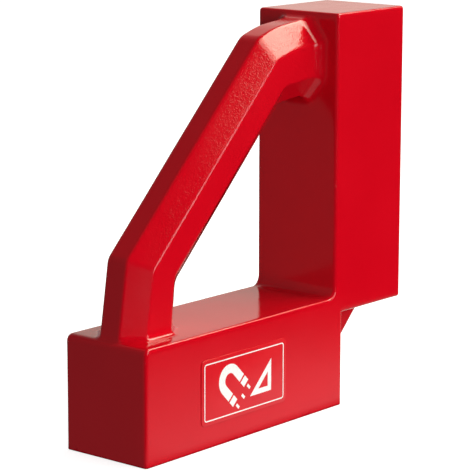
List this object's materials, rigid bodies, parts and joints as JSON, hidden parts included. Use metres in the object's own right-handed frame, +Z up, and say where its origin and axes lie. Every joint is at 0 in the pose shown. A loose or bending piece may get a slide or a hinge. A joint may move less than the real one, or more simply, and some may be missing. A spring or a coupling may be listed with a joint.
{
  "type": "magnetic holding square",
  "caption": "Red cast L-shaped magnetic holding square with an octagonal diagonal handle, a webbed corner notch and magnet packs behind its two outer working faces.",
  "frame": {"origin": "middle of the overall footprint, on the base arm's working face", "axes": "+X from the base arm's free end to the column's working face, +Z up the column, -Y out of the labelled front"},
  "size_m": [0.1736, 0.0454, 0.1766],
  "materials": {
    "red_paint": "gloss",
    "label_print": "gloss",
    "pole_steel": "satin",
    "ferrite": "matte",
    "brass": "satin",
    "screw_steel": "satin",
    "pad_fibre": "matte",
    "resin": "satin"
  },
  "bodies": {
    "root": {"cast_body": "red_paint", "front_label": "label_print", "base_front_pole": "pole_steel", "base_rear_pole": "pole_steel", "base_back_pad": "pad_fibre", "base_tie_rivets": "brass", "base_screws": "screw_steel", "base_magnet_1": "ferrite", "base_magnet_2": "ferrite", "base_magnet_3": "ferrite", "base_magnet_4": "ferrite", "base_mid_spacer_1": "brass", "base_mid_spacer_2": "brass", "base_mid_spacer_3": "brass", "base_left_spacer": "brass", "base_right_spacer": "brass", "base_magnet_seals": "resin", "base_potting": "resin", "column_front_pole": "pole_steel", "column_rear_pole": "pole_steel", "column_back_pad": "pad_fibre", "column_tie_rivets": "brass", "column_screws": "screw_steel", "column_magnet_1": "ferrite", "column_magnet_2": "ferrite", "column_magnet_3": "ferrite", "column_magnet_4": "ferrite", "column_mid_spacer_1": "brass", "column_mid_spacer_2": "brass", "column_mid_spacer_3": "brass", "column_left_spacer": "brass", "column_right_spacer": "brass", "column_magnet_seals": "resin", "column_potting": "resin"}
  },
  "joints": []
}
